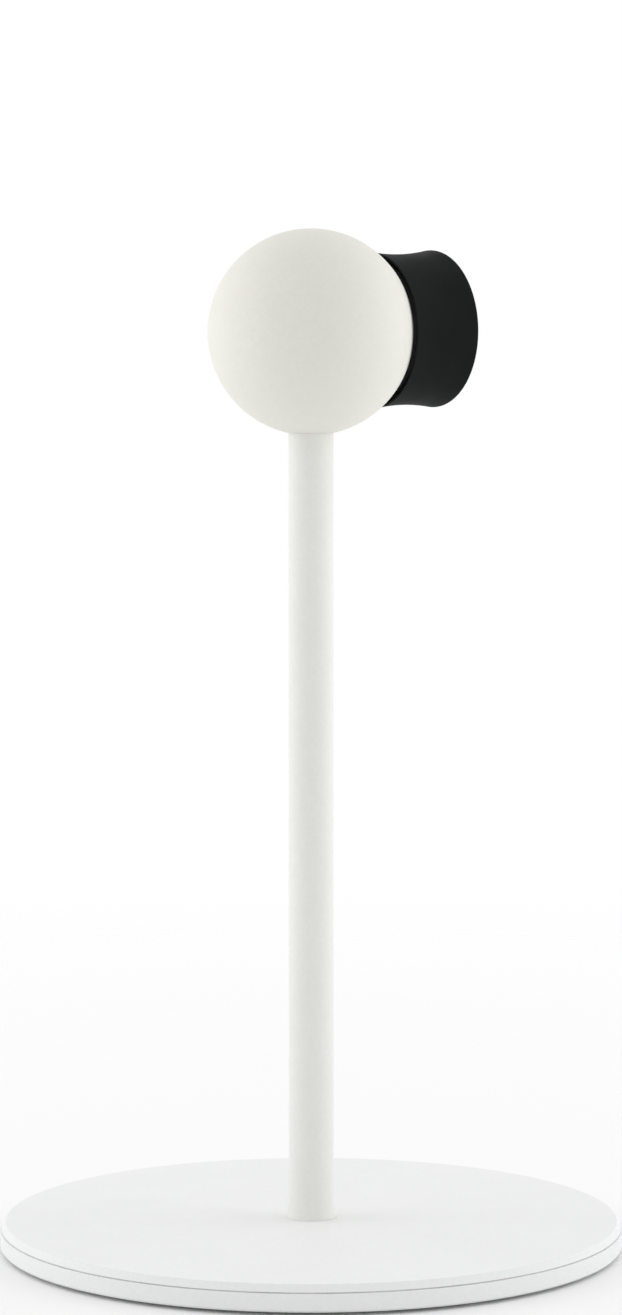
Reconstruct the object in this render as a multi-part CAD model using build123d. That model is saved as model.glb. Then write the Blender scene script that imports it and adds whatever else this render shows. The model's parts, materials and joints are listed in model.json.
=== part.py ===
from build123d import *
import math
import os

# Ball-head phone stand. A round two-layer foot carries a slim flared post with a hollow steel ball on top.
# A black silicone-covered puck clings to the ball with a pot magnet and holds a phone on its soft front pad.
# The puck slides over the ball in every direction.
#
# Frame, in millimetres: Z up, origin on the desk at the post's axis. The puck faces -Y, where the user sits.

# ---- Driving dimensions -----------------------------------------------------------------------------------

# Foot
base_diameter = 152.4
plate_thickness = 4.4          # lower steel weight
tape_thickness = 0.25          # bonding sheet, whose edge shows as a shadow line round the foot
tape_inset = 0.5               # from the rim
cover_thickness = 1.75         # upper layer
rim_slope_run = 1.1            # how far the cover's rim leans in from its foot to its top
pad_inset = 5.2                # from the plate's edge
pad_thickness = 1.5
pad_recess = 0.6               # depth of the seat that the pad is glued into
pad_access_diameter = 20.0     # hole in the pad over the post's screw
plate_edge_chamfer = 0.5

# Post
pole_diameter = 11.0
pole_wall = 1.2
flare_width = 0.6              # how far the foot stands out beyond the post
flare_height = 9.0             # height over which the foot narrows to the post
plug_length = 18.0             # threaded plugs pressed into both ends

# Fasteners of the post and ball
thread_diameter = 6.0
thread_hole_depth_spare = 1.0
screw_length = 16.0            # countersunk screw, measured over its head
screw_head_diameter = 11.3
screw_socket = 4.0             # across flats
screw_socket_depth = 2.3
screw_head_sink = 0.3          # how far the head lies above the plate's underside
lock_washer_thickness = 0.5
lock_washer_inset = 1.1        # from the post's rim
lock_washer_teeth = 10
friction_washer_thickness = 0.6
stud_socket = 3.0
stud_socket_depth = 3.0
stud_chamfer = 0.6

# Ball
ball_diameter = 50.0
ball_wall = 1.5
ball_centre_height = 224.0
boss_wall = 3.0                # round the post's top
boss_thread_length = 10.0
pole_entry = 4.0               # how far the post's top stands above the ball's lowest point

# Puck, from the ball outwards
liner_thickness = 0.8
magnet_diameter = 22.0
magnet_hole_diameter = 10.0
magnet_thickness = 5.0
yoke_wall = 1.9
yoke_back = 2.0
yoke_hole_diameter = 4.4
flange_lap = 1.0               # how far the housing's rear flange laps over the yoke's rim
cushion_thickness = 0.5
plate_disc_thickness = 2.2
phone_pad_thickness = 1.2
phone_pad_proud = 0.3          # beyond the sleeve's front edge
housing_wall = 3.85            # round the yoke, wide enough for the plate's screws
sleeve_rear_wall = 2.35
sleeve_waist_wall = 1.62
sleeve_front_wall = 2.55
sleeve_edge_round = 0.4
sleeve_lift = 0.45             # how far its rear edge stands back from the liner's face
rib_height = 0.7               # the sleeve's inner rib, which snaps into the housing's groove
rib_width = 1.6
plate_screw_count = 3
plate_screw_diameter = 1.6
plate_screw_head_diameter = 3.0
plate_screw_length = 5.5
plate_screw_socket = 1.1
plate_screw_socket_depth = 0.7
insert_wall = 0.5              # brass inserts in the housing
insert_length = 4.0

# Stored attitude: the puck's axis rises this much above level
rest_tilt = 1.5

# ---- Clearances -------------------------------------------------------------------------------------------

press_gap = 0.02               # pressed, screwed or glued pieces of one body
locate_gap = 0.1               # pieces that drop into or pass through one another
running_gap = 0.08             # round fits between bodies that turn
seat_gap = 0.2                 # between the ball's paint and the puck's liner

# ---- Derived positions ------------------------------------------------------------------------------------

base_radius = base_diameter / 2
pad_radius = base_radius - pad_inset
plate_bottom = pad_thickness - pad_recess
plate_top = plate_bottom + plate_thickness
cover_bottom = plate_top + tape_thickness
cover_top = cover_bottom + cover_thickness

pole_radius = pole_diameter / 2
pole_foot_radius = pole_radius + flare_width
pole_bore_radius = pole_radius - pole_wall
pole_bottom = plate_top + lock_washer_thickness
thread_radius = thread_diameter / 2
thread_hole_radius = thread_radius + press_gap

ball_radius = ball_diameter / 2
ball_inner_radius = ball_radius - ball_wall
pole_top = ball_centre_height - ball_radius + pole_entry
boss_seat = pole_top + friction_washer_thickness + locate_gap
boss_top = boss_seat + boss_thread_length
boss_radius = pole_radius + running_gap + boss_wall
stud_bottom = pole_top - plug_length + thread_hole_depth_spare
stud_top = boss_top - thread_hole_depth_spare

# The puck's own axis starts at the ball's centre, so its stations are distances from that centre.
magnet_radius = magnet_diameter / 2
magnet_hole_radius = magnet_hole_diameter / 2
seat_radius = ball_radius + seat_gap
liner_back_radius = seat_radius + liner_thickness
yoke_radius = magnet_radius + press_gap + yoke_wall
housing_radius = yoke_radius + running_gap + housing_wall
magnet_rear = math.sqrt(liner_back_radius**2 - magnet_hole_radius**2) + locate_gap
yoke_seat = magnet_rear + magnet_thickness
yoke_front = yoke_seat + yoke_back
housing_front = yoke_front + locate_gap + cushion_thickness
plate_front = housing_front + plate_disc_thickness
puck_front = plate_front + phone_pad_thickness
flange_radius = yoke_radius - flange_lap
yoke_rear = math.sqrt(liner_back_radius**2 - magnet_radius**2) + locate_gap
sleeve_front = puck_front - phone_pad_proud
sleeve_rear_radius = housing_radius + sleeve_rear_wall
sleeve_front_radius = housing_radius + sleeve_front_wall
sleeve_rear = math.sqrt((seat_radius + sleeve_lift) ** 2 - sleeve_rear_radius**2)
waist_station = (sleeve_rear + sleeve_front) / 2
rib_station = yoke_rear + rib_width
plate_screw_circle = yoke_radius + running_gap + housing_wall / 2


# ---- Shapes that several pieces use -----------------------------------------------------------------------

def turned(*corners):
    """Solid turned about Z from a closed outline of (radius, height) corners."""
    outline = Polyline(*[(radius, 0, height) for radius, height in corners], close=True)
    return revolve(make_face(outline), Axis.Z)


def ring(outer, inner, bottom, top):
    """Plain ring about Z."""
    return turned((inner, bottom), (outer, bottom), (outer, top), (inner, top))


def disc(radius, bottom, top):
    """Plain disc about Z."""
    return Pos(0, 0, (bottom + top) / 2) * Cylinder(radius, top - bottom)


def hex_socket(across_flats, bottom, top):
    """Hexagonal prism that cuts a key socket."""
    outline = RegularPolygon(across_flats / 2, 6, major_radius=False)
    return Pos(0, 0, bottom) * extrude(outline, top - bottom)


def around(count, radius, piece):
    """Copies of a piece spaced evenly round Z, each moved out to the given radius."""
    return [Rot(0, 0, 360 * i / count) * Pos(0, radius, 0) * piece for i in range(count)]


def countersunk_screw(head_radius, shank_radius, length, socket, socket_depth):
    """Countersunk screw along Z: its flat head is at height 0 and its tip points up."""
    cone = head_radius - shank_radius
    tip = shank_radius * 0.7
    body = turned(
        (0, 0), (head_radius, 0), (shank_radius, cone), (shank_radius, length - shank_radius + tip),
        (tip, length), (0, length),
    )
    return body - hex_socket(socket, 0, socket_depth)


def on_ball(piece):
    """Places a piece of the puck, modelled with its axis along Z from the ball's centre."""
    return Pos(0, 0, ball_centre_height) * Rot(90 - rest_tilt, 0, 0) * piece


# ---- Foot -------------------------------------------------------------------------------------------------

def make_base_plate():
    """Steel weight disc with a seat for the pad below and a countersunk hole for the post's screw."""
    plate = disc(base_radius, plate_bottom, plate_top)
    plate = chamfer(plate.edges().group_by(Axis.Z)[0], plate_edge_chamfer)
    plate -= disc(pad_radius + locate_gap, plate_bottom, plate_bottom + pad_recess)
    head_radius = screw_head_diameter / 2 + locate_gap
    shank_radius = thread_radius + locate_gap
    head_level = plate_bottom + pad_recess + screw_head_sink
    sink = turned(
        (0, plate_bottom), (head_radius, plate_bottom), (head_radius, head_level),
        (shank_radius, head_level + head_radius - shank_radius), (shank_radius, plate_top), (0, plate_top),
    )
    return plate - sink


def make_cover_tape():
    """Thin bonding sheet between the two layers of the foot."""
    return ring(base_radius - tape_inset, pole_foot_radius + tape_inset, plate_top, cover_bottom)


def make_base_cover():
    """Upper layer of the foot, with a rim that leans inwards and a hole for the post."""
    hole = pole_foot_radius + locate_gap
    cover = turned(
        (hole, cover_bottom), (base_radius, cover_bottom), (base_radius - rim_slope_run, cover_top),
        (hole, cover_top),
    )
    rim = cover.edges().filter_by(GeomType.CIRCLE).sort_by(SortBy.RADIUS)[-2:]
    return fillet(rim, cover_thickness / 8)


def make_foot_pad():
    """Non-slip pad glued into the plate's seat."""
    pad = ring(pad_radius, pad_access_diameter / 2, 0, pad_thickness)
    return chamfer(pad.edges().group_by(Axis.Z)[0], pad_thickness / 4)


# ---- Post -------------------------------------------------------------------------------------------------

def make_pole():
    """Tube whose foot flares out in a long, gentle curve."""
    flare_top = cover_top + flare_height
    flare_middle = pole_radius + flare_width / 4
    edge = pole_wall / 6
    outline = Polyline(
        (pole_radius, 0, flare_top), (pole_radius, 0, pole_top - edge), (pole_radius - edge, 0, pole_top),
        (pole_bore_radius, 0, pole_top), (pole_bore_radius, 0, pole_bottom),
        (pole_foot_radius, 0, pole_bottom), (pole_foot_radius, 0, cover_top),
    )
    flare = ThreePointArc(
        (pole_foot_radius, 0, cover_top),
        (flare_middle, 0, (cover_top + flare_top) / 2),
        (pole_radius, 0, flare_top),
    )
    return revolve(make_face(outline + flare), Axis.Z)


def make_pole_plug(bottom):
    """Threaded plug pressed into an end of the tube."""
    return ring(pole_bore_radius - press_gap, thread_hole_radius, bottom, bottom + plug_length)


def make_pole_screw():
    """Countersunk screw that pulls the post onto the plate from below."""
    screw = countersunk_screw(
        screw_head_diameter / 2, thread_radius, screw_length, screw_socket, screw_socket_depth
    )
    return Pos(0, 0, plate_bottom + pad_recess + screw_head_sink) * screw


def make_lock_washer():
    """Toothed washer that stops the post turning on the plate."""
    inner = thread_radius + locate_gap
    outer = pole_foot_radius - lock_washer_inset
    washer = ring(outer, inner, plate_top, pole_bottom)
    notch_width = math.pi * inner / lock_washer_teeth
    middle = (plate_top + pole_bottom) / 2
    notch = Pos(0, 0, middle) * Box(notch_width, outer - inner, 2 * lock_washer_thickness)
    for cut in around(lock_washer_teeth, outer, notch):
        washer -= cut
    return washer


def make_friction_washer():
    """Nylon washer between the post's top and the ball's boss."""
    return ring(
        pole_radius - locate_gap, thread_radius + locate_gap, pole_top, pole_top + friction_washer_thickness
    )


def make_ball_stud():
    """Stud screwed into the post's top plug, on which the ball turns."""
    stud = disc(thread_radius, stud_bottom, stud_top)
    stud = chamfer(stud.edges().filter_by(GeomType.CIRCLE), stud_chamfer)
    return stud - hex_socket(stud_socket, stud_top - stud_socket_depth, stud_top)


# ---- Ball -------------------------------------------------------------------------------------------------

def make_ball_shell():
    """Hollow steel ball with a hole for the post's top."""
    shell = Sphere(ball_radius) - Sphere(ball_inner_radius)
    shell -= disc(pole_radius + running_gap, -ball_radius, 0)
    return Pos(0, 0, ball_centre_height) * shell


def make_ball_boss():
    """Threaded boss welded inside the ball over its hole."""
    blank = disc(boss_radius, ball_centre_height - ball_radius, boss_top)
    blank &= Pos(0, 0, ball_centre_height) * Sphere(ball_inner_radius - press_gap)
    socket = disc(pole_radius + running_gap, ball_centre_height - ball_radius, boss_seat)
    bore = disc(thread_radius + running_gap, boss_seat, boss_top)
    return blank - socket - bore


# ---- Puck -------------------------------------------------------------------------------------------------

def make_magnet_ring():
    """Ring magnet of the pot magnet."""
    magnet = ring(magnet_radius, magnet_hole_radius, magnet_rear, yoke_seat)
    return chamfer(magnet.edges().filter_by(GeomType.CIRCLE), magnet_thickness / 16)


def make_magnet_yoke():
    """Steel pot round the magnet, which leads its field to the ball."""
    return turned(
        (yoke_hole_diameter / 2, yoke_seat), (magnet_radius + press_gap, yoke_seat),
        (magnet_radius + press_gap, yoke_rear), (yoke_radius, yoke_rear), (yoke_radius, yoke_front),
        (yoke_hole_diameter / 2, yoke_front),
    )


def make_seat_liner():
    """Thin dished liner that the puck slides on."""
    liner = Sphere(liner_back_radius) - Sphere(seat_radius)
    liner &= disc(housing_radius - locate_gap, 0, liner_back_radius)
    return liner.solids().sort_by(Axis.Z)[-1]


def make_insert_hole():
    """Hole in the housing for one brass insert, at its place along the axis."""
    hole_radius = plate_screw_diameter / 2 + insert_wall + press_gap
    return disc(hole_radius, housing_front - plate_screw_length, housing_front)


def make_puck_housing():
    """Moulded body with the pot magnet's pocket, a rear flange and a groove for the sleeve."""
    inner = yoke_radius + running_gap
    pocket_floor = yoke_rear - locate_gap
    housing = turned(
        (flange_radius, 0), (housing_radius, 0), (housing_radius, housing_front), (inner, housing_front),
        (inner, pocket_floor), (flange_radius, pocket_floor),
    )
    housing -= Sphere(liner_back_radius + press_gap)
    groove = ring(
        housing_radius + rib_height, housing_radius - rib_height - press_gap,
        rib_station - rib_width / 2 - press_gap, rib_station + rib_width / 2 + press_gap,
    )
    housing -= groove
    for hole in around(plate_screw_count, plate_screw_circle, make_insert_hole()):
        housing -= hole
    return housing.solids().sort_by(Axis.Z)[-1]


def make_plate_inserts():
    """Brass inserts for the front plate's screws, as separate solids."""
    shank = plate_screw_diameter / 2
    insert = ring(shank + insert_wall, shank + press_gap, housing_front - insert_length, housing_front)
    return Compound(children=around(plate_screw_count, plate_screw_circle, insert))


def make_magnet_cushion():
    """Foam disc that takes up the slack behind the pot magnet."""
    return ring(yoke_radius - locate_gap, yoke_hole_diameter / 2, yoke_front + locate_gap, housing_front)


def make_front_plate():
    """Round plate that closes the housing and backs the phone pad."""
    plate = disc(housing_radius - locate_gap, housing_front, plate_front)
    head_radius = plate_screw_head_diameter / 2 + press_gap
    shank_radius = plate_screw_diameter / 2 + press_gap
    cone = head_radius - shank_radius
    sink = turned(
        (0, housing_front), (shank_radius, housing_front), (shank_radius, plate_front - cone),
        (head_radius, plate_front), (0, plate_front),
    )
    for cut in around(plate_screw_count, plate_screw_circle, sink):
        plate -= cut
    return plate


def make_plate_screws():
    """Small countersunk screws of the front plate, as separate solids."""
    screw = countersunk_screw(
        plate_screw_head_diameter / 2, plate_screw_diameter / 2, plate_screw_length, plate_screw_socket,
        plate_screw_socket_depth,
    )
    screw = Pos(0, 0, plate_front) * Rot(180, 0, 0) * screw
    return Compound(children=around(plate_screw_count, plate_screw_circle, screw))


def make_phone_pad():
    """Soft tacky pad that the phone is pressed onto."""
    pad = disc(housing_radius - locate_gap, plate_front, puck_front)
    return fillet(pad.edges().group_by(Axis.Z)[-1], phone_pad_proud / 2)


def make_puck_sleeve():
    """Silicone sleeve stretched over the puck: waisted outside, with an inner rib."""
    inner = housing_radius + press_gap
    rib = housing_radius - rib_height
    rib_rear = rib_station - rib_width / 2
    rib_front = rib_station + rib_width / 2
    outline = Polyline(
        (sleeve_front_radius, 0, sleeve_front), (inner, 0, sleeve_front), (inner, 0, rib_front),
        (rib, 0, rib_front), (rib, 0, rib_rear), (inner, 0, rib_rear), (inner, 0, 0),
        (sleeve_rear_radius, 0, 0), (sleeve_rear_radius, 0, sleeve_rear),
    )
    waist = ThreePointArc(
        (sleeve_rear_radius, 0, sleeve_rear),
        (housing_radius + sleeve_waist_wall, 0, waist_station),
        (sleeve_front_radius, 0, sleeve_front),
    )
    sleeve = revolve(make_face(outline + waist), Axis.Z)
    front_edge = sleeve.edges().filter_by(GeomType.CIRCLE).group_by(Axis.Z)[-1].sort_by(SortBy.RADIUS)[-1]
    sleeve = fillet(front_edge, min(sleeve_edge_round, sleeve_front_wall / 2))
    return sleeve - Sphere(seat_radius + sleeve_lift)


# ---- Assembly ---------------------------------------------------------------------------------------------

STAND_PIECES = {
    "foot_pad": make_foot_pad(),
    "base_plate": make_base_plate(),
    "cover_tape": make_cover_tape(),
    "base_cover": make_base_cover(),
    "pole": make_pole(),
    "pole_foot_plug": make_pole_plug(pole_bottom),
    "pole_head_plug": make_pole_plug(pole_top - plug_length),
    "pole_screw": make_pole_screw(),
    "lock_washer": make_lock_washer(),
    "friction_washer": make_friction_washer(),
    "ball_stud": make_ball_stud(),
    "ball_shell": make_ball_shell(),
    "ball_boss": make_ball_boss(),
}

PUCK_PIECES = {
    "magnet_ring": make_magnet_ring(),
    "magnet_yoke": make_magnet_yoke(),
    "seat_liner": make_seat_liner(),
    "puck_housing": make_puck_housing(),
    "plate_inserts": make_plate_inserts(),
    "magnet_cushion": make_magnet_cushion(),
    "front_plate": make_front_plate(),
    "plate_screws": make_plate_screws(),
    "phone_pad": make_phone_pad(),
    "puck_sleeve": make_puck_sleeve(),
}


def main():
    """Writes one STEP file per piece."""
    os.makedirs("parts", exist_ok=True)
    for name, shape in STAND_PIECES.items():
        export_step(shape, f"parts/{name}.step")
    for name, shape in PUCK_PIECES.items():
        export_step(on_ball(shape), f"parts/{name}.step")


main()
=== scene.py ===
"""Looks of a ball-head phone stand: painted foot, post and ball, with a silicone puck on the ball."""

import json
import logging
import math
from abc import ABC, abstractmethod
from dataclasses import dataclass
from enum import Enum
from typing import ClassVar

import bpy
from bpy.types import Material, Mesh, Node, NodeSocket, NodeTree, Object
from mathutils import Matrix, Vector


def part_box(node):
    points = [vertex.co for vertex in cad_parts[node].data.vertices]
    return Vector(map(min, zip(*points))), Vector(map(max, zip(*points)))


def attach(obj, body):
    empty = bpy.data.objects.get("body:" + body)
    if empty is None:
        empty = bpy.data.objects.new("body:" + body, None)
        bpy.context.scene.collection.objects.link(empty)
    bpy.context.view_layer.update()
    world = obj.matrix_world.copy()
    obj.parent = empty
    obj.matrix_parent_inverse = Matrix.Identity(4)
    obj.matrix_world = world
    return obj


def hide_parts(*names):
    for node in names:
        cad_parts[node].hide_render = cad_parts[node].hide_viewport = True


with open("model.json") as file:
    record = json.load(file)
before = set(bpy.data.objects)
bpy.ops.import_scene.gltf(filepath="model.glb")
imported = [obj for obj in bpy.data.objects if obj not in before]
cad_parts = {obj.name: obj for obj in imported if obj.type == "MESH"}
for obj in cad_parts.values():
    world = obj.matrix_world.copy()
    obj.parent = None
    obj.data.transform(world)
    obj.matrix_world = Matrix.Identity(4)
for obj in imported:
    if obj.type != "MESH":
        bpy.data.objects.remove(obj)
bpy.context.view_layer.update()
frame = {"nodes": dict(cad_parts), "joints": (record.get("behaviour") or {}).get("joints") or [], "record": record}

LOG = logging.getLogger("phone_stand")
MM = 0.001
ON_AXIS = 1e-6
HALF_SIXTH = math.pi / 6
SHARP_ANGLE = math.radians(35)
Colour = tuple[float, float, float]
Rgba = tuple[float, float, float, float]
Station = tuple[float, float, float, bool]
Surface = tuple[NodeSocket, NodeSocket, NodeSocket]

JOINTS = {joint["name"]: joint for joint in frame["joints"]}
BALL_CENTRE = Vector(JOINTS["ball_pan"]["pos_m"])
PUCK_AXIS = Vector(JOINTS["puck_spin"]["axis"])
PUCK_TURN = Vector((0.0, 0.0, 1.0)).rotation_difference(PUCK_AXIS)
PUCK_PLACE = Matrix.Translation(BALL_CENTRE) @ PUCK_TURN.to_matrix().to_4x4()


# ---- Turned shapes ----------------------------------------------------------------------------------------

@dataclass(frozen=True)
class Corner:
    """One corner of a turned piece's outline, in millimetres: how far out, how high and how round.

    A hexed corner lies on the wall of a hexagonal socket, and `out` is then half the width across flats.
    """

    out: float
    up: float
    round: float = 0.0
    hexed: bool = False

    def towards(self, other: "Corner", reach: float) -> "Corner":
        """Gives the plain point that lies `reach` millimetres from here on the way to another corner.

        Args:
            other: the corner to head for.
            reach: how far to go.

        Returns:
            The point, with no round of its own.
        """
        run = math.dist((self.out, self.up), (other.out, other.up))
        share = reach / run
        return Corner(self.out + share * (other.out - self.out), self.up + share * (other.up - self.up))


@dataclass
class Outline:
    """Half section of a turned piece. It is a closed loop, unless it starts and ends on the axis."""

    corners: list[Corner]
    arc_steps: int = 6
    support: float = 0.35

    def on_axis(self) -> bool:
        """Tells whether the outline starts and ends on the axis."""
        return self.corners[0].out < ON_AXIS and self.corners[-1].out < ON_AXIS

    def stations(self) -> list[Station]:
        """Rounds the corners and adds a support ring beside each round.

        Returns:
            Points as (how far out, how high, how much of an edge it is from 0 to 1, whether it is hexed).
        """
        found: list[Station] = []
        count = len(self.corners)
        for i, corner in enumerate(self.corners):
            if corner.round <= 0:
                found.append((corner.out, corner.up, 0.0, corner.hexed))
                continue
            before = self.corners[i - 1]
            after = self.corners[(i + 1) % count]
            found += self._rounded(before, corner, after)
        return found

    def _rounded(self, before: Corner, corner: Corner, after: Corner) -> list[Station]:
        """Replaces one corner by an arc with a support point on each side.

        Args:
            before: the corner ahead of it.
            corner: the corner to round.
            after: the corner that follows.

        Returns:
            The arc's points in order, as stations() gives them.
        """
        turn = Vector((before.out - corner.out, before.up - corner.up)).angle(
            Vector((after.out - corner.out, after.up - corner.up))
        )
        reach = corner.round / math.tan(turn / 2)
        start = corner.towards(before, reach)
        end = corner.towards(after, reach)
        points = []
        for step in range(self.arc_steps + 1):
            t = step / self.arc_steps
            # A rational quadratic with this weight is a true circular arc.
            weight = math.sin(turn / 2)
            a, b, c = (1 - t) ** 2, 2 * t * (1 - t) * weight, t ** 2
            total = a + b + c
            out = (a * start.out + b * corner.out + c * end.out) / total
            up = (a * start.up + b * corner.up + c * end.up) / total
            points.append((out, up, math.sin(math.pi * t), False))
        if self._room(before, corner) > reach + 2 * self.support:
            ahead = corner.towards(before, reach + self.support)
            points.insert(0, (ahead.out, ahead.up, 0.0, False))
        if self._room(after, corner) > reach + 2 * self.support:
            behind = corner.towards(after, reach + self.support)
            points.append((behind.out, behind.up, 0.0, False))
        return points

    @staticmethod
    def _room(a: Corner, b: Corner) -> float:
        """Gives the length between two corners that their own rounds leave, in millimetres."""
        return math.dist((a.out, a.up), (b.out, b.up)) - a.round


def arc(radius: float, start: float, end: float, steps: int, centre: float = 0.0) -> list[Corner]:
    """Gives plain corners on a circle centred on the axis, from start to end in degrees above level."""
    angles = [math.radians(start + (end - start) * i / steps) for i in range(steps + 1)]
    return [Corner(max(0.0, radius * math.cos(a)), centre + radius * math.sin(a)) for a in angles]


def turned_mesh(name: str, outline: Outline, segments: int, place: Matrix) -> Mesh:
    """Turns an outline about the axis into a closed mesh with outward faces.

    Args:
        name: of the mesh.
        outline: its half section, in millimetres.
        segments: how many facets go round.
        place: turns and moves the piece into the row frame, in metres.

    Returns:
        A smooth mesh with the point attributes `edge` and `upward`.
    """
    stations = outline.stations()
    points: list[tuple[float, float, float]] = []
    edges: list[float] = []
    rings: list[list[int]] = []
    for out, up, edge, hexed in stations:
        first = len(points)
        around = 1 if out < ON_AXIS else segments
        for k in range(around):
            angle = math.tau * k / segments
            reach = out / math.cos(angle % (2 * HALF_SIXTH) - HALF_SIXTH) if hexed else out
            points.append((reach * math.cos(angle) * MM, reach * math.sin(angle) * MM, up * MM))
            edges.append(edge)
        rings.append([first + (k % around) for k in range(segments)])
    pairs = list(zip(rings, rings[1:]))
    if not outline.on_axis():
        pairs.append((rings[-1], rings[0]))
    faces = []
    for lower, upper in pairs:
        for k in range(segments):
            n = (k + 1) % segments
            loop = [lower[k], lower[n], upper[n], upper[k]]
            faces.append(list(dict.fromkeys(loop)))
    mesh = bpy.data.meshes.new(name)
    mesh.from_pydata(points, [], faces)
    mesh.attributes.new("edge", "FLOAT", "POINT").data.foreach_set("value", edges)
    mesh.transform(place)
    face_outwards(mesh)
    mark_upward(mesh)
    mesh.shade_smooth()
    mesh.set_sharp_from_angle(angle=SHARP_ANGLE)
    return mesh


def face_outwards(mesh: Mesh) -> None:
    """Turns a closed mesh's faces outwards if they point in, told by the sign of its volume."""
    mesh.calc_loop_triangles()
    volume = 0.0
    for triangle in mesh.loop_triangles:
        a, b, c = (mesh.vertices[i].co for i in triangle.vertices)
        volume += a.dot(b.cross(c))
    if volume < 0:
        mesh.flip_normals()


def mark_upward(mesh: Mesh) -> None:
    """Writes how far each point faces up, from 0 to 1, to the attribute that dust reads."""
    values = [max(0.0, vertex.normal.z) for vertex in mesh.vertices]
    layer = mesh.attributes.get("upward") or mesh.attributes.new("upward", "FLOAT", "POINT")
    layer.data.foreach_set("value", values)


def new_piece(name: str, mesh: Mesh, material: Material) -> Object:
    """Puts a mesh into the scene as an object at the origin.

    Args:
        name: of the piece.
        mesh: its shape, in the row frame.
        material: what it is made of.

    Returns:
        The new object.
    """
    mesh.materials.clear()
    mesh.materials.append(material)
    piece = bpy.data.objects.new(name, mesh)
    bpy.context.scene.collection.objects.link(piece)
    return piece


# ---- Node trees -------------------------------------------------------------------------------------------

class Graph:
    """Adds and joins the nodes of one tree. An `object` is a number, a colour or the socket of one."""

    def __init__(self, tree: NodeTree) -> None:
        """Starts on an empty tree."""
        self.tree = tree

    def feed(self, node: Node, inputs: dict) -> None:
        """Sets or joins a node's inputs.

        Args:
            node: the node.
            inputs: socket name or number to a value, or to the socket that feeds it.
        """
        for key, value in inputs.items():
            if isinstance(value, NodeSocket):
                self.tree.links.new(value, node.inputs[key])
            else:
                node.inputs[key].default_value = value

    def add(self, kind: str, inputs: dict | None = None, **settings: object) -> Node:
        """Adds a node.

        Args:
            kind: the node's type name.
            inputs: what feed() takes.
            settings: the node's own properties.

        Returns:
            The new node.
        """
        node = self.tree.nodes.new(kind)
        for key, value in settings.items():
            setattr(node, key, value)
        self.feed(node, inputs or {})
        return node

    def math(self, operation: str, a: object, b: object = 0.0, clamp: bool = False) -> NodeSocket:
        """Adds a Math node, such as MULTIPLY, whose result is kept from 0 to 1 if it is clamped."""
        return self.add("ShaderNodeMath", {0: a, 1: b}, operation=operation, use_clamp=clamp).outputs[0]

    def times(self, a: object, b: object, clamp: bool = False) -> NodeSocket:
        """Multiplies two numbers."""
        return self.math("MULTIPLY", a, b, clamp)

    def blend(self, share: float, a: object, b: object) -> NodeSocket:
        """Mixes two numbers, with this share of the second."""
        return self.math("ADD", self.times(a, 1.0 - share), self.times(b, share))

    def ramp(self, value: object, low: float, high: float, start: float = 0.0, end: float = 1.0,
             smooth: bool = True) -> NodeSocket:
        """Maps a range of numbers onto another.

        Args:
            value: the number or socket to map.
            low: what becomes start.
            high: what becomes end.
            start: the result at low.
            end: the result at high.
            smooth: eases in and out.

        Returns:
            The mapped number.
        """
        inputs = {"Value": value, "From Min": low, "From Max": high, "To Min": start, "To Max": end}
        kind = "SMOOTHSTEP" if smooth else "LINEAR"
        return self.add("ShaderNodeMapRange", inputs, interpolation_type=kind).outputs["Result"]

    def mix_colour(self, share: object, a: object, b: object) -> NodeSocket:
        """Mixes two colours, with this share of the second."""
        return self.add("ShaderNodeMix", {0: share, 6: a, 7: b}, data_type="RGBA").outputs[2]

    def cover(self, under: object, mask: object, share: float, over: object) -> NodeSocket:
        """Lays a colour over another, by this share where the mask is 1."""
        return self.mix_colour(self.times(mask, share), under, over)

    def noise(self, place: NodeSocket, scale: object, detail: float = 2.0,
              roughness: float = 0.5) -> NodeSocket:
        """Adds soft noise from 0 to 1, with this many features per metre and octaves."""
        inputs = {"Vector": place, "Scale": scale, "Detail": detail, "Roughness": roughness}
        return self.add("ShaderNodeTexNoise", inputs).outputs[0]

    def attribute(self, name: str) -> NodeSocket:
        """Reads a point attribute of the piece."""
        return self.add("ShaderNodeAttribute", attribute_name=name).outputs["Fac"]

    def red(self, colour: NodeSocket) -> NodeSocket:
        """Gives a colour's red part, which serves as the random number of a cell."""
        return self.add("ShaderNodeSeparateColor", {0: colour}).outputs[0]

    def bump(self, height: NodeSocket, depth: float) -> NodeSocket:
        """Turns heights from 0 to 1 into a normal, for this depth in millimetres."""
        inputs = {"Height": height, "Distance": depth * MM, "Strength": 1.0}
        return self.add("ShaderNodeBump", inputs).outputs[0]


class Effect(Enum):
    """Surface effects that several finishes share, each a shader node group."""

    GRAIN = "paint_grain"
    EDGE_WEAR = "edge_wear"
    # Edge patches: rubbed wear, and on rubber finishes also a painted highlight on the rims.
    DUST = "settled_dust"
    TURNING = "turning_marks"
    LINT = "lint"


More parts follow.
